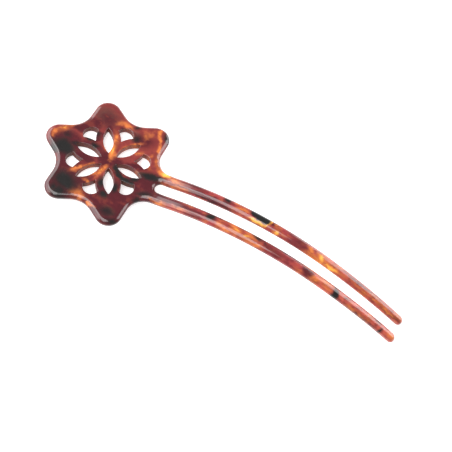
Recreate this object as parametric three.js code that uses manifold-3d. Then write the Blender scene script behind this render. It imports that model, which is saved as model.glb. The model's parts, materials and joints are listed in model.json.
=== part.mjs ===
// Two-pronged decorative hair pin of tortoiseshell cellulose acetate, in millimetres, +Z up.
// It is drawn as the flat blank that the real one is sawn from, with rounded edges and a pierced
// rosette, and is then bent along its length, as the warm blank is bent over a form.
// The pin lies as an arch on the plane Z = 0, on the far point of its star and on both tine ends.
// X runs from the star to the tine ends, and the part is symmetric about the plane Y = 0.
// The real pin is one piece of acetate, so its three regions meet face to face with no gap.
import * as THREE from "three";
import { mergeVertices } from "three/addons/utils/BufferGeometryUtils.js";
import Module from "manifold-3d";

const wasm = await Module();
wasm.setup();

// Sheet. Its edges are polished to a quarter of an ellipse, above and below.
const sheetThickness = 3;
const roundingAcross = 1.6;
const roundingDepth = 1.3;

// Star, measured from its centre. Where its sixth point would be, the pair of tines starts.
const starPoints = 6;
const starPointReach = 29; // to the sharp corner that each point is rounded from
const starPointRounding = 4.8;
const starNotchReach = 16.9; // to the sharp corner that each notch is rounded from
const starNotchRounding = 7.9;

// Tines, measured from the star's centre along the flat blank.
const blankLength = 121;
const rootHalfSpan = 6.35; // centre line to the outside of the tine pair
const endHalfSpan = 5.45;
const rootFillet = 6.1; // between the star's flank and the outside of a tine
const slotStart = 20.7; // centre of the slot's round end
const slotRootHalfWidth = 1.9;
const slotEndHalfWidth = 1.85;

// Rosette: six pointed petals with a fan-shaped opening between each two.
const rosetteRadius = 13;
const petalStart = 3; // centre of the star to the inner point of a petal
const petalHalfWidth = 1.82;
const webWidth = 2.6; // between a petal and the side of the fan next to it
const fanCentre = 11.73; // centre of the fan's round outer side
const fanRounding = 2.97;

// Bend, as arcs that follow each other along the blank: a kick upwards at the neck, then the arch.
const bendStart = 13;
const bendArcs = [
  { length: 12, turn: 20.4, steps: 12 },
  { length: 59.6, turn: -36.1, steps: 20 },
  { length: 36.4, turn: -12.3, steps: 9 },
];

// Fineness of the facets.
const arcSegments = 5;
const roundingSegments = 3;
const tipSegments = 5;

function radians(degrees) {
  return THREE.MathUtils.degToRad(degrees);
}

function polar(radius, degrees) {
  return new THREE.Vector2(radius * Math.cos(radians(degrees)), radius * Math.sin(radians(degrees)));
}

// The sharp corner between the star's flank and the outside of the left-hand tine.
function rootCorner() {
  const tip = polar(starPointReach, 60);
  const notch = polar(starNotchReach, 30);
  const share = (rootHalfSpan - tip.y) / (notch.y - tip.y);
  return tip.lerp(notch, share);
}

// A closed outline through corners given counterclockwise, each rounded by an arc of its radius.
function roundedOutline(corners) {
  const shape = new THREE.Shape();
  corners.forEach(({ point, radius, slotEnd }, i) => {
    if (slotEnd) {
      shape.absarc(slotEnd.x, slotEnd.y, radius, -Math.PI / 2, Math.PI / 2, true);
      return;
    }
    if (radius === 0) {
      shape.lineTo(point.x, point.y);
      return;
    }
    const before = corners.at(i - 1).point.clone().sub(point).normalize();
    const after = corners[(i + 1) % corners.length].point.clone().sub(point).normalize();
    const halfAngle = Math.acos(before.dot(after)) / 2;
    const bisector = before.clone().add(after).normalize();
    const centre = point.clone().addScaledVector(bisector, radius / Math.sin(halfAngle));
    const tangent = radius / Math.tan(halfAngle);
    const start = point.clone().addScaledVector(before, tangent).sub(centre);
    const end = point.clone().addScaledVector(after, tangent).sub(centre);
    const clockwise = before.cross(after) > 0;
    shape.absarc(centre.x, centre.y, radius, start.angle(), end.angle(), clockwise);
  });
  return shape;
}

// The star and a stub of the tine pair, long enough that the stub's rounded end is cut off again.
function headOutline() {
  const root = rootCorner();
  const stubEnd = slotStart + 3 * roundingAcross;
  const corner = (x, y, radius) => ({ point: new THREE.Vector2(x, y), radius });
  const corners = [
    corner(root.x, -root.y, rootFillet),
    corner(stubEnd, -rootHalfSpan, 0),
    corner(stubEnd, -slotRootHalfWidth, 0),
    { slotEnd: new THREE.Vector2(slotStart, 0), radius: slotRootHalfWidth },
    corner(stubEnd, slotRootHalfWidth, 0),
    corner(stubEnd, rootHalfSpan, 0),
    corner(root.x, root.y, rootFillet),
  ];
  const turn = 360 / starPoints;
  for (let k = 1; k < starPoints; k += 1) {
    corners.push({ point: polar(starPointReach, k * turn), radius: starPointRounding });
    if (k < starPoints - 1) {
      corners.push({ point: polar(starNotchReach, (k + 0.5) * turn), radius: starNotchRounding });
    }
  }
  return roundedOutline(corners);
}

// One side of a petal as an arc: its centre lies on the other side of the petal's axis.
function petalArc() {
  const halfLength = (rosetteRadius - petalStart) / 2;
  const radius = (halfLength ** 2 + petalHalfWidth ** 2) / (2 * petalHalfWidth);
  const centre = new THREE.Vector2(petalStart + halfLength, petalHalfWidth - radius);
  return { radius, centre, halfAngle: Math.asin(halfLength / radius) };
}

// The petal that points along +X.
function petalOutline() {
  const { radius, centre, halfAngle } = petalArc();
  const up = Math.PI / 2;
  const shape = new THREE.Shape();
  shape.absarc(centre.x, centre.y, radius, up - halfAngle, up + halfAngle, false);
  shape.absarc(centre.x, -centre.y, radius, -up - halfAngle, -up + halfAngle, false);
  return shape;
}

// The fan that points along +X: its two sides run beside the petals at -30 and +30 degrees.
function fanOutline() {
  const petal = petalArc();
  const sideRadius = petal.radius + webWidth;
  const sideCentre = petal.centre.clone().rotateAround(new THREE.Vector2(), -Math.PI / starPoints);
  const cornerX = sideCentre.x + Math.sqrt(sideRadius ** 2 - sideCentre.y ** 2);
  // Where the side meets the round outer side, from the triangle of the two centres and that point.
  const across = new THREE.Vector2(fanCentre, 0).sub(sideCentre);
  const distance = across.length();
  const along = (sideRadius ** 2 - fanRounding ** 2 + distance ** 2) / (2 * distance);
  const sideStart = new THREE.Vector2(cornerX, 0).sub(sideCentre).angle();
  const sideEnd = across.angle() - Math.acos(along / sideRadius);
  const meetX = sideCentre.x + sideRadius * Math.cos(sideEnd);
  const meetY = sideCentre.y + sideRadius * Math.sin(sideEnd);
  const roundAngle = Math.atan2(-meetY, meetX - fanCentre);
  const shape = new THREE.Shape();
  shape.absarc(sideCentre.x, sideCentre.y, sideRadius, sideStart, sideEnd, true);
  shape.absarc(fanCentre, 0, fanRounding, -roundAngle, roundAngle, false);
  shape.absarc(sideCentre.x, -sideCentre.y, sideRadius, -sideEnd, -sideStart, true);
  return shape;
}

// A closed three.js geometry as a solid that can be cut.
function solidFrom(geometry) {
  const bare = new THREE.BufferGeometry();
  bare.setAttribute("position", geometry.getAttribute("position"));
  bare.setIndex(geometry.index);
  const merged = mergeVertices(bare, 1e-4);
  const vertProperties = merged.getAttribute("position").array;
  const triVerts = new Uint32Array(merged.index.array);
  return new wasm.Manifold(new wasm.Mesh({ numProp: 3, vertProperties, triVerts }));
}

function piercing(outline, degrees) {
  const depth = 2 * sheetThickness;
  const options = { depth, bevelEnabled: false, curveSegments: arcSegments };
  const geometry = new THREE.ExtrudeGeometry(outline, options);
  geometry.translate(0, 0, -depth / 2);
  geometry.rotateZ(radians(degrees));
  return solidFrom(geometry);
}

// Everything with X beyond the start of the slot.
function tineSide() {
  const size = 4 * starPointReach;
  const box = new THREE.BoxGeometry(size, size, size);
  box.translate(slotStart + size / 2, 0, 0);
  return solidFrom(box);
}

// The flat head: outline with rounded edges, rosette pierced, cut off square where the slot starts.
function flatHead() {
  const depth = sheetThickness - 2 * roundingDepth;
  const geometry = new THREE.ExtrudeGeometry(headOutline(), {
    depth,
    bevelThickness: roundingDepth,
    bevelSize: roundingAcross,
    bevelOffset: -roundingAcross,
    bevelSegments: roundingSegments,
    curveSegments: arcSegments,
  });
  geometry.translate(0, 0, -depth / 2);
  let head = solidFrom(geometry).subtract(tineSide());
  const turn = 360 / starPoints;
  for (let k = 0; k < starPoints; k += 1) {
    head = head.subtract(piercing(petalOutline(), k * turn));
    head = head.subtract(piercing(fanOutline(), (k + 0.5) * turn));
  }
  return head;
}

// Triangles of a solid, three points each.
function trianglesOf(solid) {
  const { vertProperties, triVerts, numProp } = solid.getMesh();
  const point = (i) => new THREE.Vector3().fromArray(vertProperties, i * numProp);
  const triangles = [];
  for (let i = 0; i < triVerts.length; i += 3) {
    triangles.push([point(triVerts[i]), point(triVerts[i + 1]), point(triVerts[i + 2])]);
  }
  return triangles;
}

// Cuts every triangle that crosses the plane X = x, so that the surface can bend there.
function splitAt(triangles, x) {
  const touch = 0.01;
  const side = (p) => (Math.abs(p.x - x) < touch ? 0 : Math.sign(p.x - x));
  const between = (p, q) => {
    const [low, high] = p.x < q.x ? [p, q] : [q, p];
    return low.clone().lerp(high, (x - low.x) / (high.x - low.x));
  };
  return triangles.flatMap((triangle) => {
    const sides = triangle.map(side);
    if (!sides.includes(1) || !sides.includes(-1)) return [triangle];
    const single = (s) => sides.filter((other) => other === s).length === 1;
    const i = sides.includes(0) ? sides.indexOf(0) : sides.findIndex(single);
    const [a, b, c] = [triangle[i], triangle[(i + 1) % 3], triangle[(i + 2) % 3]];
    if (sides[i] === 0) {
      const middle = between(b, c);
      return [
        [a, b, middle],
        [a, middle, c],
      ];
    }
    const ab = between(a, b);
    const ac = between(a, c);
    return [
      [a, ab, ac],
      [ab, b, c],
      [ab, c, ac],
    ];
  });
}

// The values of X at which the bent surface has points.
function bendStations() {
  const stations = [];
  let x = bendStart;
  for (const { length, steps } of bendArcs) {
    for (let i = 0; i < steps; i += 1) stations.push(x + (length * i) / steps);
    x += length;
  }
  return stations;
}

// Moves a point of the flat blank to its place on the bent pin.
function bent(point) {
  let left = point.x - bendStart;
  if (left <= 0) return point.clone();
  const middle = new THREE.Vector2(bendStart, 0);
  let slope = 0;
  for (const { length, turn } of bendArcs) {
    const run = Math.min(left, length);
    const curvature = radians(turn) / length;
    const next = slope + curvature * run;
    middle.x += (Math.sin(next) - Math.sin(slope)) / curvature;
    middle.y += (Math.cos(slope) - Math.cos(next)) / curvature;
    slope = next;
    left -= run;
  }
  const x = middle.x - point.z * Math.sin(slope);
  return new THREE.Vector3(x, point.y, middle.y + point.z * Math.cos(slope));
}

function bentGeometry(triangles) {
  const geometry = new THREE.BufferGeometry().setFromPoints(triangles.flat().map(bent));
  geometry.computeVertexNormals();
  return geometry;
}

function headGeometry() {
  const stations = bendStations().filter((x) => x < slotStart);
  return bentGeometry(stations.reduce(splitAt, trianglesOf(flatHead())));
}

// Distance from the centre line to the outside of a tine: the root fillet, then a straight taper.
function outerHalfSpan(x) {
  const root = rootCorner();
  const fromFilletCentre = root.x + rootFillet - x;
  if (fromFilletCentre > 0) {
    return rootHalfSpan + rootFillet - Math.sqrt(rootFillet ** 2 - fromFilletCentre ** 2);
  }
  const share = (x - root.x) / (blankLength - root.x);
  return THREE.MathUtils.lerp(rootHalfSpan, endHalfSpan, share);
}

function slotHalfWidth(x) {
  const share = (x - slotStart) / (blankLength - slotStart);
  return THREE.MathUtils.lerp(slotRootHalfWidth, slotEndHalfWidth, share);
}

// Half of a tine's width at its round end.
function tipRadius() {
  return (endHalfSpan - slotEndHalfWidth) / 2;
}

// The section of the left-hand tine at X = x, counterclockwise as seen from its end. Past the
// middle of the round end the section narrows, and the edge rounding eats into its height.
function tineSection(x) {
  const past = Math.max(0, x - (blankLength - tipRadius()));
  const middle = (outerHalfSpan(x) + slotHalfWidth(x)) / 2;
  const halfWidth = (outerHalfSpan(x) - slotHalfWidth(x)) / 2;
  const core = halfWidth - roundingAcross;
  const fullAngle = Math.acos(Math.min(1, Math.max(0, (past - core) / roundingAcross)));
  const quarter = [];
  for (let i = 0; i <= roundingSegments; i += 1) {
    const angle = (fullAngle * i) / roundingSegments;
    const reach = core + roundingAcross * Math.cos(angle);
    const y = Math.sqrt(Math.max(0, reach ** 2 - past ** 2));
    quarter.push([y, sheetThickness / 2 - roundingDepth * (1 - Math.sin(angle))]);
  }
  const back = quarter.toReversed();
  const ring = [
    ...quarter,
    ...back.map(([y, z]) => [-y, z]),
    ...quarter.map(([y, z]) => [-y, -z]),
    ...back.map(([y, z]) => [y, -z]),
  ];
  return ring.map(([y, z]) => new THREE.Vector3(x, middle + y, z));
}

// Joins rings of equal length into triangles and closes both ends.
function loft(rings) {
  const triangles = [];
  const count = rings[0].length;
  for (let i = 1; i < rings.length; i += 1) {
    const [low, high] = [rings[i - 1], rings[i]];
    for (let j = 0; j < count; j += 1) {
      const k = (j + 1) % count;
      triangles.push([low[j], high[k], high[j]], [low[j], low[k], high[k]]);
    }
  }
  const [first, last] = [rings[0], rings.at(-1)];
  for (let j = 1; j < count - 1; j += 1) {
    triangles.push([first[0], first[j + 1], first[j]], [last[0], last[j], last[j + 1]]);
  }
  return triangles;
}

function tineGeometry(side) {
  const tipStart = blankLength - tipRadius();
  const along = bendStations().filter((x) => x > slotStart + 0.5 && x < tipStart - 0.5);
  const tip = [];
  for (let i = 0; i < tipSegments; i += 1) {
    tip.push(tipStart + tipRadius() * Math.sin((Math.PI / 2) * (i / (tipSegments - 0.5))));
  }
  const stations = [slotStart, ...along, ...tip];
  const triangles = loft(stations.map(tineSection));
  const mirrored = ([a, b, c]) => [c, b, a].map(({ x, y, z }) => new THREE.Vector3(x, -y, z));
  return bentGeometry(side > 0 ? triangles : triangles.map(mirrored));
}

function piece(name, geometry) {
  const acetate = new THREE.MeshStandardMaterial({ color: 0x7a3a26, roughness: 0.18, metalness: 0 });
  const mesh = new THREE.Mesh(geometry, acetate);
  mesh.name = name;
  return mesh;
}

// Turns the pin about Y until the head and the tines reach down to one level.
function level(pin, head, tine) {
  const lowest = (mesh) => new THREE.Box3().setFromObject(mesh, true).min.z;
  const length = blankLength + starPointReach;
  for (let i = 0; i < 10; i += 1) {
    pin.rotation.y += (lowest(tine) - lowest(head)) / length;
    pin.updateMatrixWorld(true);
  }
}

const starHead = piece("star_head", headGeometry());
const leftTine = piece("left_tine", tineGeometry(1));
const rightTine = piece("right_tine", tineGeometry(-1));
const pin = new THREE.Group();
pin.add(starHead, leftTine, rightTine);
level(pin, starHead, leftTine);
const extent = new THREE.Box3().setFromObject(pin, true);
pin.position.set(-(extent.min.x + extent.max.x) / 2, 0, -extent.min.z);

export default pin;
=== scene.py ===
import json
import math

import bmesh
import bpy
import numpy as np
from mathutils import Matrix, Vector
from mathutils.geometry import delaunay_2d_cdt


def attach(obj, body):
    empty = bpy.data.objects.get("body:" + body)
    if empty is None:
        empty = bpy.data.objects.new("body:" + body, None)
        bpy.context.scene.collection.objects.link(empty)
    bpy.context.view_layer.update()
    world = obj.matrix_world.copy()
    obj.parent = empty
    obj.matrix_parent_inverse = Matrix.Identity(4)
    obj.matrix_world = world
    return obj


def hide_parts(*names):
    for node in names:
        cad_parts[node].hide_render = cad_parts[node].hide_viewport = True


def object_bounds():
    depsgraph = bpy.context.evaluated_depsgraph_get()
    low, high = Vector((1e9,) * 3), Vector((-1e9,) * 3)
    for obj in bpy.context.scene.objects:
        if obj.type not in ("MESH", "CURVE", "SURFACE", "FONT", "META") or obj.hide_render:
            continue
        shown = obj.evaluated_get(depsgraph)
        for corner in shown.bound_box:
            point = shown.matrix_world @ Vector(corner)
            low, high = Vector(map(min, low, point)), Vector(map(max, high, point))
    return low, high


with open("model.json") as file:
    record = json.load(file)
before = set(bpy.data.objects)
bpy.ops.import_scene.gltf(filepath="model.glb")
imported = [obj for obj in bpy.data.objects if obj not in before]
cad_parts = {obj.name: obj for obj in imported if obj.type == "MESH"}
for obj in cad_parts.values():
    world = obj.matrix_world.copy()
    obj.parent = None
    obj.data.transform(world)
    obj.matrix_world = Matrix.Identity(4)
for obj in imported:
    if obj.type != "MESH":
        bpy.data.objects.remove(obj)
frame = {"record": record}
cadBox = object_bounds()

mm = 0.001

# The flat blank that the pin is sawn from, in millimetres from the centre of the star.
sheet = {
    "thickness": 3.0,
    "roundingAcross": 1.7,   # polished outer edge: a quarter of an ellipse, this wide
    "roundingDepth": 1.3,    # and this deep
    "roundingShape": 1.55,   # 2 is a true ellipse, 1 a flat bevel
    "roundingSteps": 9,
    "sawnRounding": 0.24,    # what polishing leaves on the edges of the pierced openings
    "sawnSteps": 3,
    "edgeStep": 0.5,         # spacing of points along an edge
    "faceStep": 0.9,         # spacing of points on the flat faces
}
star = {
    "points": 6,
    "pointReach": 29.0,
    "pointRounding": 4.8,
    "notchReach": 16.9,
    "notchRounding": 7.9,
}
tines = {
    "length": 121.0,
    "rootHalfSpan": 6.35,
    "endHalfSpan": 5.45,
    "rootFillet": 6.1,
    "slotStart": 20.7,
    "slotRootHalfWidth": 1.9,
    "slotEndHalfWidth": 1.85,
    "tipRounding": 1.8,
}
rosette = {
    "radius": 13.0,
    "petalStart": 3.0,
    "petalHalfWidth": 1.82,
    "webWidth": 2.6,
    "fanCentre": 11.73,
    "fanRounding": 2.97,
    "cornerRounding": 0.14,  # the saw leaves its own radius in the pointed corners
}
bend = {
    "start": 13.0,
    "arcs": [(12.0, 20.4), (59.6, -36.1), (36.4, -12.3)],   # length in mm, turn in degrees
}


def polar(radius, degrees):
    angle = math.radians(degrees)
    return np.array([radius * math.cos(angle), radius * math.sin(angle)])


def angleOf(vector):
    return math.atan2(vector[1], vector[0])


# Outlines are points with normals that point away from the acetate, which stays on the left.

def arcRun(centre, radius, start, end, side):
    count = max(5, math.ceil(abs(end - start) * radius / sheet["edgeStep"]))
    angles = np.linspace(start, end, count + 1)
    radial = np.column_stack([np.cos(angles), np.sin(angles)])
    return np.asarray(centre) + radius * radial, side * radial


def lineRun(start, end):
    length = np.linalg.norm(end - start)
    along = (end - start) / length
    count = max(2, math.ceil(length / sheet["edgeStep"]))
    share = np.linspace(0, 1, count + 1)[1:-1, None]
    normal = np.array([along[1], -along[0]])
    return start + share * (end - start), np.tile(normal, (len(share), 1))


def closedLoop(runs):
    points = np.vstack([p for p, n in runs])
    normals = np.vstack([n for p, n in runs])
    apart = np.linalg.norm(points - np.roll(points, 1, axis=0), axis=1) > 0.004
    return points[apart], normals[apart]


def roundedLoop(corners):
    arcs = []
    for i, (point, radius) in enumerate(corners):
        before = corners[i - 1][0] - point
        after = corners[(i + 1) % len(corners)][0] - point
        before, after = before / np.linalg.norm(before), after / np.linalg.norm(after)
        half = math.acos(before @ after) / 2
        middle = (before + after) / np.linalg.norm(before + after)
        centre = point + middle * radius / math.sin(half)
        reach = radius / math.tan(half)
        side = 1 if after[0] * before[1] > after[1] * before[0] else -1   # 1 where it bulges out
        first = angleOf(point + before * reach - centre)
        arcs.append({
            "run": arcRun(centre, radius, first, first + side * (math.pi - 2 * half), side),
            "start": point + before * reach,
            "end": point + after * reach,
        })
    runs = []
    for i, arc in enumerate(arcs):
        following = arcs[(i + 1) % len(arcs)]["start"]
        runs.append(arc["run"])
        if np.linalg.norm(following - arc["end"]) > sheet["edgeStep"]:
            runs.append(lineRun(arc["end"], following))
    return closedLoop(runs)


def pinOutline():
    tip, notch = polar(star["pointReach"], 60), polar(star["notchReach"], 30)
    share = (tines["rootHalfSpan"] - tip[1]) / (notch[1] - tip[1])
    root = tip + share * (notch - tip)
    slotEnd = tines["slotStart"] - tines["slotRootHalfWidth"]
    half = [
        ((slotEnd, tines["slotRootHalfWidth"]), tines["slotRootHalfWidth"] * 0.999),
        ((tines["length"], tines["slotEndHalfWidth"]), tines["tipRounding"] * 0.999),
        ((tines["length"], tines["endHalfSpan"]), tines["tipRounding"] * 0.999),
        (tuple(root), tines["rootFillet"]),
    ]
    corners = [((x, -y), radius) for (x, y), radius in reversed(half)] + half
    turn = 360 / star["points"]
    for k in range(1, star["points"]):
        corners.append((polar(star["pointReach"], k * turn), star["pointRounding"]))
        if k < star["points"] - 1:
            corners.append((polar(star["notchReach"], (k + 0.5) * turn), star["notchRounding"]))
    return roundedLoop([(np.array(point), radius) for point, radius in corners])


def petalArc():
    halfLength = (rosette["radius"] - rosette["petalStart"]) / 2
    halfWidth = rosette["petalHalfWidth"]
    radius = (halfLength ** 2 + halfWidth ** 2) / (2 * halfWidth)
    return radius, np.array([rosette["petalStart"] + halfLength, halfWidth - radius])


# turned and run clockwise
def opened(runs, degrees):
    points, normals = closedLoop(runs)
    c, s = math.cos(math.radians(degrees)), math.sin(math.radians(degrees))
    turn = np.array([[c, s], [-s, c]])
    return (points @ turn)[::-1], (normals @ turn)[::-1]


def petalOutline(degrees):
    radius, centre = petalArc()
    small = rosette["cornerRounding"]
    reach = math.sqrt((radius - small) ** 2 - centre[1] ** 2)
    farTip, nearTip = np.array([centre[0] + reach, 0]), np.array([centre[0] - reach, 0])
    far, near = angleOf(farTip - centre), angleOf(nearTip - centre)
    runs = [
        arcRun(centre, radius, far, near, -1),
        arcRun(nearTip, small, near, 2 * math.pi - near, -1),
        arcRun(centre * (1, -1), radius, -near, -far, -1),
        arcRun(farTip, small, -far, far, -1),
    ]
    return opened(runs, degrees)


def fanOutline(degrees):
    radius, centre = petalArc()
    c, s = math.cos(math.pi / star["points"]), math.sin(math.pi / star["points"])
    centre = np.array([c * centre[0] + s * centre[1], -s * centre[0] + c * centre[1]])
    radius += rosette["webWidth"]
    small = rosette["cornerRounding"]
    middle, roundRadius = np.array([rosette["fanCentre"], 0.0]), rosette["fanRounding"]
    inner = np.array([centre[0] + math.sqrt((radius + small) ** 2 - centre[1] ** 2), 0])
    across = middle - centre
    distance = np.linalg.norm(across)
    along = ((radius + small) ** 2 - (roundRadius - small) ** 2 + distance ** 2) / (2 * distance)
    sideEnd = angleOf(across) - math.acos(along / (radius + small))
    outer = centre + (radius + small) * np.array([math.cos(sideEnd), math.sin(sideEnd)])
    sideStart, roundStart = angleOf(inner - centre), angleOf(outer - middle)
    mirror = np.array([1, -1])
    runs = [
        arcRun(inner, small, math.pi - sideStart, math.pi + sideStart, -1),
        arcRun(centre, radius, sideStart, sideEnd, 1),
        arcRun(outer, small, sideEnd - math.pi, roundStart, -1),
        arcRun(middle, roundRadius, roundStart, -roundStart, -1),
        arcRun(outer * mirror, small, -roundStart, math.pi - sideEnd, -1),
        arcRun(centre * mirror, radius, -sideEnd, -sideStart, 1),
    ]
    return opened(runs, degrees)


def edgeProfile(across, depth, steps, shape):
    # each entry: inset, height, outward and upward share of the normal, how far round the edge
    half = sheet["thickness"] / 2
    upper = []
    for i in range(steps + 1):
        s, c = math.sin(math.pi / 2 * i / steps), max(0.0, math.cos(math.pi / 2 * i / steps))
        outwards, upwards = s ** (2 - 2 / shape) / across, c ** (2 - 2 / shape) / depth
        size = math.hypot(outwards, upwards)
        upper.append((across * (1 - s ** (2 / shape)), half - depth * (1 - c ** (2 / shape)),
                      outwards / size, upwards / size, s))
    return upper + [(inset, -z, out, -up, share) for inset, z, out, up, share in reversed(upper)]


def insideAcetate(places, loops):
    odd = np.zeros(len(places), bool)
    for points, normals in loops:
        x0, y0 = points.T
        x1, y1 = np.roll(points, -1, axis=0).T
        for first in range(0, len(places), 2000):
            x, y = places[first:first + 2000, 0, None], places[first:first + 2000, 1, None]
            spans = (y0 > y) != (y1 > y)
            with np.errstate(divide="ignore", invalid="ignore"):
                crossing = spans & (x < (x1 - x0) * (y - y0) / (y1 - y0) + x0)
            odd[first:first + 2000] ^= crossing.sum(axis=1) % 2 == 1
    return odd


# points all over the flat face, clear of its edges
def facePoints(loops):
    step = sheet["faceStep"]
    rows = np.arange(-star["pointReach"], star["pointReach"], step * 0.866)
    grid = []
    for k, y in enumerate(rows):
        x = np.arange(-star["pointReach"], tines["length"], step) + (k % 2) * step / 2
        grid.append(np.column_stack([x, np.full(len(x), y)]))
    grid = np.vstack(grid)
    grid = grid[insideAcetate(grid, loops)]
    edge = np.vstack([points for points, normals in loops])
    clear = [np.min(np.sum((edge - place) ** 2, axis=1)) > (0.45 * step) ** 2 for place in grid]
    return grid[np.array(clear)]


# the whole flat blank: places, normals, faces, and how far each point is round an edge
def blankMesh():
    polished = edgeProfile(sheet["roundingAcross"], sheet["roundingDepth"],
                           sheet["roundingSteps"], sheet["roundingShape"])
    sawn = edgeProfile(sheet["sawnRounding"], sheet["sawnRounding"], sheet["sawnSteps"], 2)
    outlines = [(pinOutline(), polished)]
    turn = 360 / star["points"]
    for k in range(star["points"]):
        outlines.append((petalOutline(k * turn), sawn))
        outlines.append((fanOutline((k + 0.5) * turn), sawn))
    places, normals, edges, faces = [], [], [], []
    topLoops, topIndex, bottomIndex = [], [], []
    count = 0
    for (points, away), profile in outlines:
        n = len(points)
        for inset, z, outwards, upwards, share in profile:
            ring = points - away * inset
            places.append(np.column_stack([ring, np.full(n, z)]))
            normals.append(np.column_stack([away * outwards, np.full(n, upwards)]))
            edges.append(np.column_stack([np.full(n, share * (profile is polished)),
                                          np.full(n, share * (profile is sawn))]))
        j = np.arange(n)
        k = (j + 1) % n
        for r in range(len(profile) - 1):
            high, low = count + r * n, count + (r + 1) * n
            faces.extend(np.column_stack([high + j, low + j, low + k, high + k]).tolist())
        topLoops.append((points - away * profile[0][0], away))
        topIndex.append(count + j)
        bottomIndex.append(count + (len(profile) - 1) * n + j)
        count += len(profile) * n
    inner = facePoints(topLoops)
    flat = np.vstack([points for points, away in topLoops] + [inner])
    ringEdges, first = [], 0
    for points, away in topLoops:
        n = len(points)
        ringEdges.extend((first + j, first + (j + 1) % n) for j in range(n))
        first += n
    netPoints, _, netFaces, pointSources = delaunay_2d_cdt(
        [Vector(point) for point in flat], ringEdges, [], 0, 1e-6)[:4]
    corners = np.array([list(face) for face in netFaces])
    sources = np.array([source[0] for source in pointSources])
    found = np.array([list(point) for point in netPoints])
    keep = insideAcetate(found[corners].mean(axis=1), topLoops)
    corners = sources[corners[keep]]
    half = sheet["thickness"] / 2
    for z, index in ((half, topIndex), (-half, bottomIndex)):
        rows = np.concatenate([np.concatenate(index), count + np.arange(len(inner))])
        found = rows[corners]
        faces.extend((found if z > 0 else found[:, ::-1]).tolist())
        places.append(np.column_stack([inner, np.full(len(inner), z)]))
        normals.append(np.tile([0, 0, np.sign(z)], (len(inner), 1)))
        edges.append(np.zeros((len(inner), 2)))
        count += len(inner)
    return np.vstack(places), np.vstack(normals), np.vstack(edges), faces


# moves the flat blank to its place on the bent pin
def bentPlaces(places, normals):
    left = places[:, 0] - bend["start"]
    middleX = np.minimum(places[:, 0], bend["start"])
    middleZ, slope = np.zeros(len(places)), np.zeros(len(places))
    left = np.maximum(left, 0)
    for length, turn in bend["arcs"]:
        run = np.minimum(left, length)
        curvature = math.radians(turn) / length
        following = slope + curvature * run
        middleX = middleX + (np.sin(following) - np.sin(slope)) / curvature
        middleZ = middleZ + (np.cos(slope) - np.cos(following)) / curvature
        slope = following
        left = left - run
    s, c = np.sin(slope), np.cos(slope)
    moved = np.column_stack([middleX - places[:, 2] * s, places[:, 1],
                             middleZ + places[:, 2] * c])
    turned = np.column_stack([normals[:, 0] * c - normals[:, 2] * s, normals[:, 1],
                              normals[:, 0] * s + normals[:, 2] * c])
    return moved, turned


# the star's own frame, from the two flat faces that the record says it can rest on
def placedOnFloor():
    mounts = {mount["name"]: mount for mount in frame["record"]["mounts"]}
    back, front = mounts["star_back"], mounts["star_front"]
    middle = (Vector(back["pos_m"]) + Vector(front["pos_m"])) / 2
    up = Vector(front["axis"]).normalized()
    along = Vector((0, 1, 0)).cross(up)
    turn = Matrix((along, Vector((0, 1, 0)), up)).transposed()
    return np.array(turn), np.array(middle)


def cutPiece(name, whole, keepHead, side):
    places, normals, edges, faces = whole
    bm = bmesh.new()
    layers = {
        "awayFromSurface": bm.verts.layers.float_vector.new("awayFromSurface"),
        "sheetPlace": bm.verts.layers.float_vector.new("sheetPlace"),
        "roundTheEdge": bm.verts.layers.float.new("roundTheEdge"),
    }
    made = []
    for place, normal, edge in zip(places, normals, edges):
        vert = bm.verts.new(place)
        vert[layers["awayFromSurface"]] = normal
        vert[layers["sheetPlace"]] = place
        vert[layers["roundTheEdge"]] = edge.sum()
        made.append(vert)
    for face in faces:
        bm.faces.new([made[i] for i in face]).material_index = int(edges[face, 1].min() > 0.99)
    everything = bm.verts[:] + bm.edges[:] + bm.faces[:]
    cut = bmesh.ops.bisect_plane(
        bm, geom=everything, dist=1e-4, plane_co=(tines["slotStart"], 0, 0),
        plane_no=(1, 0, 0), clear_outer=keepHead, clear_inner=not keepHead)
    if side:
        bmesh.ops.delete(bm, geom=[v for v in bm.verts if v.co.y * side < 0], context="VERTS")
    rim = [e for e in bm.edges if e.is_boundary]
    caps = bmesh.ops.holes_fill(bm, edges=rim, sides=0)["faces"]
    for cap in caps:
        cap.material_index = 0
    bmesh.ops.recalc_face_normals(bm, faces=caps)
    bm.faces.index_update()
    capFaces = {cap.index for cap in caps}
    mesh = bpy.data.meshes.new(name)
    bm.to_mesh(mesh)
    bm.free()
    return mesh, capFaces


def finishPiece(name, node, mesh, capFaces, materials):
    n = len(mesh.vertices)
    flat = np.zeros(n * 3)
    mesh.vertices.foreach_get("co", flat)
    normals = np.zeros(n * 3)
    mesh.attributes["awayFromSurface"].data.foreach_get("vector", normals)
    moved, turned = bentPlaces(flat.reshape(-1, 3), normals.reshape(-1, 3))
    turn, middle = placedOnFloor()
    moved = moved @ turn.T * mm + middle
    turned = turned @ turn.T
    turned /= np.linalg.norm(turned, axis=1)[:, None]
    mesh.vertices.foreach_set("co", moved.ravel())
    mesh.attributes.remove(mesh.attributes["awayFromSurface"])
    mesh.update()
    mesh.shade_smooth()
    cornerVerts = np.zeros(len(mesh.loops), int)
    mesh.loops.foreach_get("vertex_index", cornerVerts)
    corners = turned[cornerVerts]
    for face in capFaces:
        polygon = mesh.polygons[face]
        corners[polygon.loop_start:polygon.loop_start + polygon.loop_total] = polygon.normal
    mesh.normals_split_custom_set(corners.tolist())
    for material in materials:
        mesh.materials.append(material)
    piece = bpy.data.objects.new(name, mesh)
    bpy.context.scene.collection.objects.link(piece)
    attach(piece, "root")
    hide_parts(node)
    return piece


# Pattern places are in millimetres on the flat blank.


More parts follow.
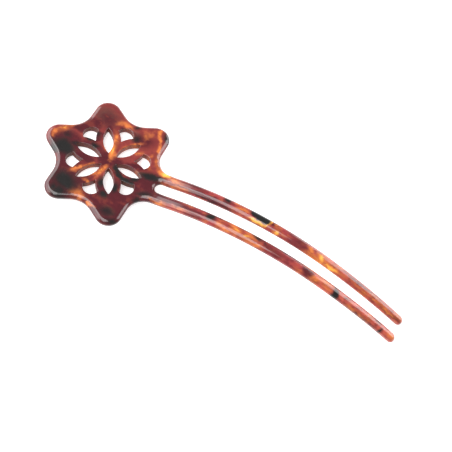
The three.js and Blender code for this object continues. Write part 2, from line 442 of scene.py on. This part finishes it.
def addNode(tree, kind, settings=None, inputs=None):
    node = tree.nodes.new(kind)
    for key, value in (settings or {}).items():
        setattr(node, key, value)
    for key, value in (inputs or {}).items():
        if isinstance(value, bpy.types.NodeSocket):
            tree.links.new(value, node.inputs[key])
        else:
            node.inputs[key].default_value = value
    return node


def sumOf(tree, a, b, operation="ADD", clamp=False):
    return addNode(tree, "ShaderNodeMath", {"operation": operation, "use_clamp": clamp},
                   {0: a, 1: b}).outputs[0]


def smoothStep(tree, value, low, high, top=1.0):
    return addNode(tree, "ShaderNodeMapRange", {"interpolation_type": "SMOOTHSTEP"},
                   {"Value": value, "From Min": low, "From Max": high, "To Max": top}).outputs[0]


def mixed(tree, share, first, second, blend="MIX"):
    node = addNode(tree, "ShaderNodeMix", {"data_type": "RGBA", "blend_type": blend})
    factor, fromColour, toColour = node.inputs[0], node.inputs[6], node.inputs[7]
    for socket, value in ((factor, share), (fromColour, first), (toColour, second)):
        if isinstance(value, bpy.types.NodeSocket):
            tree.links.new(value, socket)
        else:
            socket.default_value = value
    return node.outputs[2]


def makeGroup(name, inputs, outputs):
    tree = bpy.data.node_groups.new(name, "ShaderNodeTree")
    for socketName, kind in inputs:
        tree.interface.new_socket(name=socketName, in_out="INPUT", socket_type="NodeSocket" + kind)
    for socketName, kind in outputs:
        tree.interface.new_socket(name=socketName, in_out="OUTPUT", socket_type="NodeSocket" + kind)
    return tree, tree.nodes.new("NodeGroupInput").outputs, tree.nodes.new("NodeGroupOutput").inputs


# moves places about, as the colours ran into each other while the sheet was soft
def makeSwirlGroup():
    tree, given, result = makeGroup(
        "acetateSwirl", [("Place", "Vector"), ("Scale", "Float"), ("Reach", "Float")],
        [("Place", "Vector")])
    noise = addNode(tree, "ShaderNodeTexNoise", {}, {
        "Vector": given["Place"], "Scale": given["Scale"], "Detail": 3.0, "Roughness": 0.55})
    middle = addNode(tree, "ShaderNodeVectorMath", {"operation": "SUBTRACT"},
                     {0: noise.outputs["Color"], 1: (0.5, 0.5, 0.5)}).outputs[0]
    reach = addNode(tree, "ShaderNodeVectorMath", {"operation": "SCALE"},
                    {0: middle, "Scale": given["Reach"]}).outputs[0]
    moved = addNode(tree, "ShaderNodeVectorMath", {"operation": "ADD"},
                    {0: given["Place"], 1: reach}).outputs[0]
    tree.links.new(moved, result["Place"])
    return tree


# one cloud of colour: 0.5 on its outline, more inside, added to the clouds before it
def makeCloudGroup():
    tree, given, result = makeGroup(
        "acetateCloud",
        [("Place", "Vector"), ("Centre", "Vector"), ("Turn", "Vector"), ("Half Size", "Vector"),
         ("Strength", "Float"), ("Before", "Float")],
        [("Cloud", "Float")])
    double = addNode(tree, "ShaderNodeVectorMath", {"operation": "SCALE"},
                     {0: given["Half Size"], "Scale": 2.0}).outputs[0]
    own = addNode(tree, "ShaderNodeMapping", {"vector_type": "TEXTURE"}, {
        "Vector": given["Place"], "Location": given["Centre"], "Rotation": given["Turn"],
        "Scale": double}).outputs[0]
    ball = addNode(tree, "ShaderNodeTexGradient", {"gradient_type": "SPHERICAL"},
                   {"Vector": own}).outputs[1]
    strong = sumOf(tree, ball, given["Strength"], "MULTIPLY")
    tree.links.new(sumOf(tree, strong, given["Before"], "MAXIMUM"), result["Cloud"])
    return tree


# fine lengthwise grain and mottling, 0 to 1
def makeGrainGroup():
    tree, given, result = makeGroup(
        "acetateGrain", [("Place", "Vector"), ("Scale", "Float"), ("Stretch", "Float")],
        [("Grain", "Float")])
    stretch = addNode(tree, "ShaderNodeCombineXYZ", {}, {
        "X": sumOf(tree, 1.0, given["Stretch"], "DIVIDE"), "Y": 1.0, "Z": 1.0}).outputs[0]
    place = addNode(tree, "ShaderNodeVectorMath", {"operation": "MULTIPLY"},
                    {0: given["Place"], 1: stretch}).outputs[0]
    noise = addNode(tree, "ShaderNodeTexNoise", {}, {
        "Vector": place, "Scale": given["Scale"], "Detail": 3.0, "Roughness": 0.5}).outputs[0]
    tree.links.new(smoothStep(tree, noise, 0.28, 0.72), result["Grain"])
    return tree


# hairline scratches and dulled edges: how worn, and the height of the scratches
def makeWearGroup():
    tree, given, result = makeGroup(
        "handlingWear", [("Place", "Vector"), ("Edge", "Float"), ("Amount", "Float")],
        [("Wear", "Float"), ("Height", "Float")])
    patchy = addNode(tree, "ShaderNodeTexNoise", {}, {
        "Vector": given["Place"], "Scale": 0.55, "Detail": 5.0, "Roughness": 0.65}).outputs[0]
    rubbed = sumOf(tree, smoothStep(tree, given["Edge"], 0.55, 1.0),
                   smoothStep(tree, patchy, 0.42, 0.7), "MULTIPLY")
    stretched = addNode(tree, "ShaderNodeMapping", {"vector_type": "POINT"}, {
        "Vector": given["Place"], "Rotation": (0, 0, 0.5), "Scale": (0.5, 9.0, 1.0)}).outputs[0]
    lines = addNode(tree, "ShaderNodeTexNoise", {}, {
        "Vector": stretched, "Scale": 0.9, "Detail": 2.0, "Roughness": 0.5}).outputs[0]
    hairlines = sumOf(tree, smoothStep(tree, lines, 0.66, 0.74),
                      smoothStep(tree, patchy, 0.5, 0.62), "MULTIPLY")
    worn = sumOf(tree, sumOf(tree, rubbed, hairlines, "MAXIMUM"), given["Amount"], "MULTIPLY")
    tree.links.new(worn, result["Wear"])
    tree.links.new(sumOf(tree, 1.0, sumOf(tree, hairlines, given["Amount"], "MULTIPLY"),
                         "SUBTRACT"), result["Height"])
    return tree


tortoiseshell = {
    # each cloud: x, y, half length, half width, turn in degrees, strength
    "smoke": [                      # soft olive brown
        (-9.2, 15.0, 3.6, 2.8, -15, 0.95), (-18.4, 1.6, 2.0, 2.4, 40, 0.9),
        (-14.0, -9.8, 2.0, 1.6, 0, 0.7), (-6.0, -12.0, 2.4, 1.6, 20, 0.8),
        (-11.5, -8.6, 1.6, 1.4, 0, 0.8), (13.2, 1.0, 2.6, 1.2, 20, 0.9),
        (3.4, 13.4, 2.4, 1.6, -20, 0.85), (9.6, -5.6, 1.4, 1.2, 0, 0.8),
        (20.5, -3.4, 2.6, 0.8, 0, 0.8),
    ],
    "wine": [                       # burgundy, between the ink and the red
        (1.4, -0.6, 4.2, 2.4, -12, 1.6), (-13.0, -2.4, 6.4, 3.4, 0, 1.2),
        (-8.6, -14.0, 6.4, 5.2, 60, 1.4), (10.0, -14.5, 7.0, 6.0, -60, 1.8),
        (17.4, -3.0, 5.6, 3.6, 0, 1.5), (-10.6, 11.0, 3.2, 2.0, 60, 0.7),
        (5.4, 12.8, 2.4, 1.8, -40, 1.0), (-7.6, 1.4, 3.4, 1.6, 0, 1.1),
        (8.5, -14.0, 6.0, 5.0, 30, 1.9), (12.0, -17.5, 4.5, 3.8, 0, 1.9),
        (15.0, -3.4, 4.6, 2.4, 0, 1.8), (0.8, -0.8, 4.4, 1.2, -12, 1.8),
        (-9.0, -3.0, 3.4, 1.1, -6, 1.7), (-14.4, 7.0, 2.4, 1.8, 20, 1.5),
        (-16.0, -1.8, 4.0, 3.6, 0, 1.6), (-9.0, -15.8, 5.6, 5.0, 0, 1.7),
        (-12.0, 9.5, 3.0, 2.2, 50, 1.1), (-8.4, 14.2, 4.6, 3.8, -20, 0.7),
        (-8.4, 5.4, 2.4, 1.4, 60, 1.4), (0.4, 13.6, 3.0, 0.8, 0, 1.1),
        (-5.6, 10.6, 2.2, 1.0, -55, 1.1), (9.4, 3.0, 3.4, 1.0, 20, 1.2),
        (3.0, -11.0, 2.2, 2.0, 0, 1.4), (5.6, -7.4, 2.4, 1.6, -60, 1.2),
        (16.0, -8.0, 3.0, 2.4, 0, 1.4), (-13.6, -8.4, 2.0, 3.0, 20, 1.2),
        (7.4, 13.4, 3.0, 2.4, 30, 0.75), (21.0, -3.6, 4.0, 1.4, 0, 1.3),
        (31.5, 4.6, 5.6, 1.2, 0, 0.65), (72.4, 3.6, 4.0, 2.8, 0, 0.55),
        (35.0, 3.0, 12.0, 0.7, 0, 0.8), (30.0, -4.4, 12.0, 0.7, 0, 0.8),
        (27.0, -3.4, 8.0, 1.2, 0, 0.65), (66.0, -4.2, 5.6, 2.4, 0, 0.5),
        (79.8, -4.0, 1.8, 1.6, 0, 0.95), (102.0, 4.0, 10.0, 0.5, 0, 0.7),
        (62.0, 4.8, 2.0, 1.0, 0, 0.8), (104.0, -5.4, 8.0, 0.5, 0, 0.75),
        (38.0, 2.4, 8.0, 0.5, 0, 0.95), (66.0, -2.3, 12.0, 0.4, 0, 1.0),
        (114.0, 2.6, 5.0, 0.4, 0, 0.9), (57.0, -2.4, 30.0, 0.35, 0, 0.8),
    ],
    "amber": [
        (-19.2, 3.6, 3.6, 1.3, 64, 1.1), (-20.9, 0.2, 1.8, 0.9, 80, 0.9),
        (-0.9, 5.4, 4.0, 1.0, -78, 1.15), (-2.4, 9.8, 2.6, 0.8, -60, 0.95),
        (0.9, 3.0, 1.6, 0.8, 40, 0.6), (2.9, 7.4, 2.2, 0.8, 62, 0.95),
        (4.9, 10.2, 1.9, 0.6, 48, 0.8), (-3.6, 3.8, 1.8, 0.7, -35, 0.75),
        (-4.9, 7.6, 1.6, 0.6, -55, 0.7),
        (-0.2, -4.6, 2.4, 1.0, 75, 1.1), (-2.3, -6.9, 2.4, 0.9, 50, 1.0),
        (-5.7, -5.9, 2.4, 0.8, 42, 1.0), (-7.9, -8.6, 2.2, 1.0, 55, 0.85),
        (-1.5, -11.6, 1.6, 0.8, -60, 0.8), (-3.6, -10.2, 1.6, 0.7, 60, 0.7),
        (-2.9, -16.9, 2.6, 2.0, 20, 0.85), (-2.0, 15.3, 2.4, 1.1, 10, 0.8),
        (0.7, -2.7, 1.2, 0.6, -60, 0.5), (3.0, -5.2, 1.4, 0.5, -55, 0.75),
        (10.3, 19.0, 2.2, 0.9, -70, 0.9), (11.8, 16.4, 2.4, 0.7, -58, 0.95),
        (13.3, 12.8, 2.6, 0.7, -70, 0.95), (14.3, 9.4, 2.2, 0.9, -65, 0.95),
        (16.6, 6.9, 2.6, 1.0, -28, 1.0), (20.3, 5.2, 3.2, 1.0, -4, 1.2),
        (12.9, 4.8, 2.2, 0.8, -20, 0.9), (11.6, 9.0, 1.6, 0.8, 60, 0.7),
        (7.8, 7.9, 1.8, 0.7, 35, 0.65), (8.6, 0.9, 3.0, 0.35, 8, 0.85),
        (2.9, -17.9, 2.6, 0.4, -10, 0.9), (6.5, 15.8, 3.4, 1.6, 40, 0.5),
        (10.5, -7.5, 1.2, 1.0, 60, 0.6), (24.6, 4.4, 3.4, 1.2, 0, 0.75),
        (25.0, 2.4, 5.0, 0.5, 0, 0.95), (23.0, -5.7, 4.0, 0.7, 0, 0.85),
        (31.0, -5.4, 3.0, 0.6, 0, 0.7), (33.6, -3.0, 2.0, 0.6, 0, 0.65),
        (50.5, 3.8, 2.6, 1.2, 20, 0.8), (48.2, 5.4, 1.2, 0.9, 60, 0.8),
        (57.0, 2.3, 3.2, 0.6, 4, 1.1), (60.4, 3.9, 0.7, 1.8, -28, 1.3),
        (64.4, 2.8, 1.4, 1.2, 60, 1.0), (63.4, 4.6, 1.0, 1.0, 50, 0.7),
        (77.2, 3.2, 1.1, 1.8, 20, 0.9), (81.9, 3.6, 1.7, 2.0, 10, 1.1),
        (86.4, 2.6, 4.0, 1.0, 0, 1.05), (80.0, 2.2, 4.0, 0.7, 0, 1.0),
        (88.5, 3.8, 2.2, 1.0, 30, 0.75), (101.2, 2.5, 2.0, 0.8, 0, 0.95),
        (97.0, 3.0, 4.0, 0.6, 0, 0.7), (110.0, 2.7, 7.0, 0.5, 0, 0.9),
        (118.4, 3.6, 2.6, 1.2, 0, 0.8), (106.0, 3.7, 5.0, 0.3, 0, 0.7),
        (46.6, -4.6, 1.8, 1.4, 40, 0.9), (52.0, -4.3, 2.8, 1.6, -15, 1.05),
        (56.6, -4.7, 2.6, 1.5, 20, 1.1), (49.4, -5.6, 2.4, 0.8, 0, 0.85),
        (60.6, -5.3, 2.2, 0.9, 0, 0.8), (83.2, -5.0, 2.0, 1.1, 20, 0.95),
        (87.6, -3.9, 2.6, 1.5, -20, 0.85), (76.5, -5.3, 1.6, 0.7, 0, 0.7),
        (84.5, -2.3, 7.0, 0.4, 0, 1.1), (103.5, -4.7, 3.4, 0.7, 0, 0.75),
        (107.4, -4.1, 1.2, 1.7, -15, 0.9), (99.5, -5.2, 2.4, 0.6, 0, 0.75),
        (118.6, -3.8, 2.4, 1.2, 0, 0.75),
    ],
    "honey": [                      # the brightest, inside the amber
        (-0.6, 4.6, 2.0, 0.5, -78, 0.62), (20.4, 5.3, 1.8, 0.7, -4, 0.95),
        (57.0, 2.4, 2.6, 0.45, 4, 1.2), (60.4, 4.0, 0.5, 1.5, -28, 1.5),
        (81.9, 3.3, 0.9, 1.5, 10, 0.75), (-19.6, 3.6, 1.8, 0.6, 64, 0.6),
        (-0.3, -4.8, 1.3, 0.4, 75, 0.6), (55.8, -4.5, 1.6, 0.7, 20, 0.7),
        (52.4, -4.0, 1.4, 0.6, -15, 0.6), (86.4, 2.2, 3.0, 0.4, 0, 0.85),
        (64.7, 2.4, 0.8, 0.7, 60, 0.75), (12.8, 4.6, 1.2, 0.5, -20, 0.55),
    ],
    "ink": [
        (15.7, 2.1, 3.2, 1.2, 10, 1.15), (18.9, 3.2, 2.4, 0.7, 12, 0.85),
        (4.3, -1.9, 2.0, 0.7, -45, 0.95), (6.6, -3.3, 2.0, 0.75, -18, 1.05),
        (9.2, -3.7, 1.9, 0.8, 8, 1.05), (11.6, -1.8, 1.9, 0.9, 55, 0.95),
        (7.3, -8.2, 1.1, 1.7, 12, 0.95), (2.4, -8.8, 1.0, 1.7, 12, 0.85),
        (5.0, -12.3, 1.5, 1.1, 0, 0.85), (9.3, -17.3, 2.8, 1.6, 8, 0.78),
        (-8.8, -14.8, 4.0, 3.0, -12, 0.98), (-8.2, -19.4, 2.2, 2.8, 15, 0.95),
        (-11.0, -18.5, 1.4, 2.0, 20, 0.8),
        (-15.8, -3.5, 3.4, 2.3, -14, 1.05), (-18.4, -5.0, 1.8, 1.1, -35, 0.9),
        (-13.2, -0.4, 1.8, 0.9, 30, 0.8), (-17.0, 1.2, 1.4, 1.8, 30, 0.62),
        (-6.7, 2.8, 1.2, 0.9, 12, 0.95), (-9.6, 3.9, 1.8, 0.7, 10, 0.75),
        (13.7, 18.9, 1.2, 2.6, 38, 0.95), (2.2, 16.9, 1.3, 0.8, 30, 0.75),
        (4.2, 12.7, 1.2, 1.4, -35, 0.76), (13.2, -19.6, 2.8, 1.1, 12, 0.8),
        (-8.6, 7.2, 0.9, 1.6, 25, 0.66), (15.9, -8.4, 1.2, 0.9, 30, 0.72),
        (17.4, -5.2, 2.6, 1.0, 20, 0.78), (11.4, -3.9, 0.9, 0.7, 40, 0.9),
        (44.6, 4.7, 1.6, 1.0, 10, 0.85), (57.2, 4.6, 2.6, 1.25, -4, 2.0),
        (33.5, 5.6, 2.8, 0.5, 0, 0.68), (40.0, 2.2, 6.0, 0.3, 0, 0.5),
        (42.6, -3.6, 1.7, 1.0, 28, 1.05), (37.0, -5.9, 3.2, 0.6, 0, 0.6),
        (59.6, -3.0, 1.8, 0.7, -18, 0.82), (62.4, -3.6, 1.0, 0.6, -18, 0.7),
        (91.7, -5.0, 1.1, 1.7, 5, 1.2), (91.4, -2.6, 1.3, 0.7, 0, 0.7),
        (96.3, -3.6, 1.2, 0.6, 0, 0.75), (111.4, -2.7, 2.0, 0.5, 0, 0.72),
        (113.7, -4.8, 0.8, 1.0, 0, 0.85), (113.8, 5.6, 4.0, 0.3, 0, 0.6),
    ],
    "colours": {
        "chestnut": (0.155, 0.019, 0.019), "rust": (0.200, 0.028, 0.023),
        "rosewood": (0.265, 0.032, 0.033), "coral": (0.440, 0.076, 0.048),
        "wine": (0.060, 0.0035, 0.0085), "smoke": (0.120, 0.052, 0.036),
        "amberDeep": (0.290, 0.060, 0.019), "amber": (0.490, 0.138, 0.031),
        "honey": (0.830, 0.390, 0.060), "ink": (0.0065, 0.0055, 0.0055),
    },
    # how ragged each cloud's outline is, and where its colour starts and is full
    "outlines": {
        "smoke": (0.20, 0.05, 0.85), "wine": (0.26, 0.08, 0.66), "amber": (0.26, 0.14, 0.92),
        "honey": (0.18, 0.30, 0.80), "ink": (0.24, 0.04, 0.80),
    },
    # scale and lengthwise stretch of each noise
    "noises": {"mottle": (0.40, 1.2), "streaks": (0.90, 7.0), "broad": (0.10, 1.5),
               "flecks": (0.62, 1.8)},
    "tinesFade": 16.0, "tipsFade": 12.0, "streaksOnTines": 0.75, "coralShare": 0.80,
    "darkFlecks": 0.50, "lightFlecks": 0.40, "wineShare": 0.95, "amberVeil": 0.16,
    "shadeRange": (0.82, 1.18),
    "swirlScale": 0.13, "swirlReach": 1.7,
    "curlScale": 0.42, "curlReach": 1.5,
    "tinesFrom": 16.0, "tipsFrom": 74.0,      # where the redder and lighter acetate starts
}


# the whole sheet's pattern, the same for every surface that is cut from it
def makeSheetGroup():
    look = tortoiseshell
    colours = {name: (*value, 1) for name, value in look["colours"].items()}
    swirl, cloud, grain = makeSwirlGroup(), makeCloudGroup(), makeGrainGroup()
    tree, given, result = makeGroup(
        "tortoiseshellSheet", [("Place", "Vector")],
        [("Colour", "Color"), ("Mottle", "Float"), ("Grain", "Float")])

    def grouped(group, inputs, output):
        return addNode(tree, "ShaderNodeGroup", {"node_tree": group}, inputs).outputs[output]

    def noiseAt(where, name):
        scale, stretch = look["noises"][name]
        return grouped(grain, {"Place": where, "Scale": scale, "Stretch": stretch}, "Grain")

    place = given["Place"]
    swirled = grouped(swirl, {"Place": place, "Scale": look["swirlScale"],
                              "Reach": look["swirlReach"]}, "Place")
    curled = grouped(swirl, {"Place": swirled, "Scale": look["curlScale"],
                             "Reach": look["curlReach"]}, "Place")
    mottle = noiseAt(curled, "mottle")
    streaks = noiseAt(curled, "streaks")
    broad = noiseAt(swirled, "broad")

    def clouds(name, noise):
        ragged, start, full = look["outlines"][name]
        field = 0.0
        for x, y, halfLength, halfWidth, turn, strength in look[name]:
            field = grouped(cloud, {
                "Place": curled, "Centre": (x, y, 0), "Turn": (0, 0, math.radians(turn)),
                "Half Size": (halfLength, halfWidth, 40.0), "Strength": strength,
                "Before": field}, "Cloud")
        rough = sumOf(tree, sumOf(tree, noise, 0.5, "SUBTRACT"), ragged, "MULTIPLY")
        return smoothStep(tree, sumOf(tree, field, rough), start, full)

    along = addNode(tree, "ShaderNodeSeparateXYZ", {}, {0: place}).outputs[0]
    onTines = smoothStep(tree, along, look["tinesFrom"], look["tinesFrom"] + look["tinesFade"])
    nearTips = smoothStep(tree, along, look["tipsFrom"], look["tipsFrom"] + look["tipsFade"])
    streaky = sumOf(tree, onTines, look["streaksOnTines"], "MULTIPLY")
    fibres = addNode(tree, "ShaderNodeMix", {}, {0: streaky, 2: mottle, 3: streaks}).outputs[0]
    colour = mixed(tree, broad, colours["chestnut"], colours["rust"])
    colour = mixed(tree, onTines, colour, colours["rosewood"])
    coralShare = sumOf(tree, nearTips, look["coralShare"], "MULTIPLY")
    colour = mixed(tree, coralShare, colour, colours["coral"])
    flecks = noiseAt(curled, "flecks")
    darker = sumOf(tree, smoothStep(tree, flecks, 0.60, 0.05), look["darkFlecks"], "MULTIPLY")
    lighter = sumOf(tree, smoothStep(tree, flecks, 0.70, 1.0), look["lightFlecks"], "MULTIPLY")
    colour = mixed(tree, sumOf(tree, darker, onTines, "MULTIPLY"), colour, colours["wine"])
    colour = mixed(tree, sumOf(tree, lighter, onTines, "MULTIPLY"), colour, colours["amber"])
    colour = mixed(tree, clouds("smoke", mottle), colour, colours["smoke"])
    wine = clouds("wine", fibres)
    colour = mixed(tree, sumOf(tree, wine, look["wineShare"], "MULTIPLY"), colour, colours["wine"])
    veil = sumOf(tree, smoothStep(tree, fibres, 0.5, 1.0), look["amberVeil"], "MULTIPLY")
    colour = mixed(tree, veil, colour, colours["amberDeep"])
    warm = mixed(tree, smoothStep(tree, fibres, 0.1, 0.9), colours["amberDeep"], colours["amber"])
    colour = mixed(tree, clouds("amber", fibres), colour, warm)
    colour = mixed(tree, clouds("honey", fibres), colour, colours["honey"])
    ink = clouds("ink", mottle)
    colour = mixed(tree, ink, colour, colours["ink"])
    shade = addNode(tree, "ShaderNodeMapRange", {}, {
        "Value": fibres, "To Min": look["shadeRange"][0],
        "To Max": look["shadeRange"][1]}).outputs[0]
    shades = addNode(tree, "ShaderNodeCombineXYZ", {}, {0: shade, 1: shade, 2: shade}).outputs[0]
    tree.links.new(mixed(tree, 1.0, colour, shades, "MULTIPLY"), result["Colour"])
    tree.links.new(mottle, result["Mottle"])
    tree.links.new(fibres, result["Grain"])
    return tree


finishes = {
    # the amber glow share is painted light: thin edges coloured warmer, as where light comes
    # through them
    "polishedAcetate": {"roughness": 0.14, "wear": 0.45, "wearColour": (0.34, 0.15, 0.12),
                        "paintedGlow": 0.0, "ripple": 0.6, "specular": 0.5, "coat": 0.35},
    "sawnAcetatePaintedGlow": {"roughness": 0.42, "wear": 0.30, "wearColour": (0.30, 0.12, 0.08),
                    "paintedGlow": 0.30, "ripple": 1.0, "specular": 0.22, "coat": 0.0},
}


surfaceDetail = {
    "wearTint": 0.14, "wearDullness": 0.25,     # how far wear changes colour and roughness
    "mottleDullness": 0.05, "scratchHeight": 0.08,
    "reliefStrength": 0.3, "reliefDepth": 0.00004,
    "acetateIor": 1.49, "coatIor": 1.45, "coatRoughness": 0.06,
}


def makeAcetate(name, sheetGroup, wearGroup):
    finish = finishes[name]
    material = bpy.data.materials.new(name)
    material.use_nodes = True
    tree = material.node_tree
    surface = tree.nodes["Principled BSDF"]
    place = addNode(tree, "ShaderNodeAttribute", {"attribute_name": "sheetPlace"}).outputs["Vector"]
    edge = addNode(tree, "ShaderNodeAttribute", {"attribute_name": "roundTheEdge"}).outputs["Fac"]
    pattern = addNode(tree, "ShaderNodeGroup", {"node_tree": sheetGroup}, {"Place": place})
    worn = addNode(tree, "ShaderNodeGroup", {"node_tree": wearGroup}, {
        "Place": place, "Edge": edge, "Amount": finish["wear"]})
    paintedGlowColour = (*tortoiseshell["colours"]["amberDeep"], 1)
    # painted light: amber mixed into the colour of the sawn walls, standing in for light that comes
    # through the acetate
    colour = mixed(tree, finish["paintedGlow"], pattern.outputs["Colour"], paintedGlowColour)
    tint = sumOf(tree, worn.outputs["Wear"], surfaceDetail["wearTint"], "MULTIPLY")
    colour = mixed(tree, tint, colour, (*finish["wearColour"], 1))
    tree.links.new(colour, surface.inputs["Base Color"])
    dulled = sumOf(tree, worn.outputs["Wear"], surfaceDetail["wearDullness"], "MULTIPLY")
    dull = sumOf(tree, dulled, finish["roughness"])
    uneven = sumOf(tree, pattern.outputs["Mottle"], surfaceDetail["mottleDullness"], "MULTIPLY")
    tree.links.new(sumOf(tree, dull, uneven), surface.inputs["Roughness"])
    ripple = sumOf(tree, pattern.outputs["Mottle"], finish["ripple"], "MULTIPLY")
    scratches = sumOf(tree, worn.outputs["Height"], surfaceDetail["scratchHeight"], "MULTIPLY")
    height = sumOf(tree, ripple, scratches)
    bump = addNode(tree, "ShaderNodeBump", {}, {
        "Strength": surfaceDetail["reliefStrength"], "Distance": surfaceDetail["reliefDepth"],
        "Height": height}).outputs[0]
    tree.links.new(bump, surface.inputs["Normal"])
    surface.inputs["IOR"].default_value = surfaceDetail["acetateIor"]
    surface.inputs["Specular IOR Level"].default_value = finish["specular"]
    surface.inputs["Coat Weight"].default_value = finish["coat"]
    surface.inputs["Coat Roughness"].default_value = surfaceDetail["coatRoughness"]
    surface.inputs["Coat IOR"].default_value = surfaceDetail["coatIor"]
    return material


sheetGroup, wearGroup = makeSheetGroup(), makeWearGroup()
acetates = [makeAcetate(name, sheetGroup, wearGroup) for name in finishes]
print("materials:", ", ".join(finishes), "from", len(sheetGroup.nodes), "pattern nodes")
wholeBlank = blankMesh()
print("blank:", len(wholeBlank[0]), "points")
for name, node, onHead, side in (("star_head_shell", "star_head", True, 0),
                                 ("left_tine_shell", "left_tine", False, 1),
                                 ("right_tine_shell", "right_tine", False, -1)):
    mesh, caps = cutPiece(name, wholeBlank, onHead, side)
    finishPiece(name, node, mesh, caps, acetates)
    print("piece:", name)

studio = {
    "floorHalfSize": 1.6,
    "floorGlow": 0.62, "floorColour": (0.80, 0.80, 0.80),
    "surround": 0.40,
    # each light: azimuth from +X, elevation, distance, width, height, radiance, colour
    "softboxes": [
        ("sideSoftbox", 188, 28, 0.70, 1.10, 0.54, 3.5, (1.0, 1.0, 1.0)),
        ("upperSoftbox", 219, 64, 0.80, 0.90, 0.46, 4.9, (1.0, 1.0, 1.0)),
        ("farWindow", 38, 34, 0.85, 0.60, 0.50, 4.6, (1.0, 0.97, 0.97)),
        ("lowWindow", 58, 11, 0.85, 0.70, 0.36, 3.2, (1.0, 0.95, 0.96)),
    ],
}
camera = {
    "lookAt": (0.00015, 0.00278, 0.0),   # from the middle of the pin's footprint, on the floor
    "distance": 0.319475,
    "azimuth": -89.7177, "elevation": 63.9136, "roll": 29.6594,
    "lens": 71.933,
}


def directionOf(azimuth, elevation):
    a, e = math.radians(azimuth), math.radians(elevation)
    return Vector((math.cos(a) * math.cos(e), math.sin(a) * math.cos(e), math.sin(e)))


def makeFloor(middle, level):
    size = studio["floorHalfSize"]
    bm = bmesh.new()
    corners = [bm.verts.new((middle.x + sx * size, middle.y + sy * size, level))
               for sx, sy in ((-1, -1), (1, -1), (1, 1), (-1, 1))]
    bm.faces.new(corners)
    mesh = bpy.data.meshes.new("paperFloor")
    bm.to_mesh(mesh)
    bm.free()
    floor = bpy.data.objects.new("paperFloor", mesh)
    bpy.context.scene.collection.objects.link(floor)
    paper = bpy.data.materials.new("whitePaper")
    paper.use_nodes = True
    surface = paper.node_tree.nodes["Principled BSDF"]
    surface.inputs["Base Color"].default_value = (*studio["floorColour"], 1)
    surface.inputs["Roughness"].default_value = 0.9
    surface.inputs["Specular IOR Level"].default_value = 0.0
    surface.inputs["Emission Color"].default_value = (1, 1, 1, 1)
    surface.inputs["Emission Strength"].default_value = studio["floorGlow"]
    mesh.materials.append(paper)


def makeLights(middle):
    for name, azimuth, elevation, distance, width, height, radiance, tint in studio["softboxes"]:
        data = bpy.data.lights.new(name, "AREA")
        data.shape, data.size, data.size_y = "RECTANGLE", width, height
        data.energy = radiance * math.pi * width * height
        data.color = tint
        lamp = bpy.data.objects.new(name, data)
        back = directionOf(azimuth, elevation)
        lamp.location = middle + back * distance
        lamp.rotation_euler = back.to_track_quat("Z", "Y").to_euler()
        bpy.context.scene.collection.objects.link(lamp)
    world = bpy.data.worlds.new("whiteStudio")
    world.use_nodes = True
    world.node_tree.nodes["Background"].inputs[0].default_value = (1, 1, 1, 1)
    world.node_tree.nodes["Background"].inputs[1].default_value = studio["surround"]
    bpy.context.scene.world = world


def makeCamera(middle):
    data = bpy.data.cameras.new("camera")
    data.lens, data.sensor_width = camera["lens"], 36
    data.clip_start, data.clip_end = 0.01, 20
    eye = bpy.data.objects.new("camera", data)
    back = directionOf(camera["azimuth"], camera["elevation"])
    target = middle + Vector(camera["lookAt"])
    right = Vector((0, 0, 1)).cross(back).normalized()
    up = back.cross(right)
    roll = math.radians(camera["roll"])
    rolledRight = right * math.cos(roll) + up * math.sin(roll)
    rolledUp = back.cross(rolledRight)
    turn = Matrix((rolledRight, rolledUp, back)).transposed()
    eye.matrix_world = Matrix.Translation(target + back * camera["distance"]) @ turn.to_4x4()
    bpy.context.scene.collection.objects.link(eye)
    bpy.context.scene.camera = eye


low, high = cadBox
footprint = Vector(((low.x + high.x) / 2, (low.y + high.y) / 2, low.z))
makeFloor(footprint, low.z)
makeLights(footprint)
makeCamera(footprint)
bpy.context.scene.view_settings.view_transform = "Standard"
print("studio: floor, lights and camera")

bpy.context.view_layer.update()
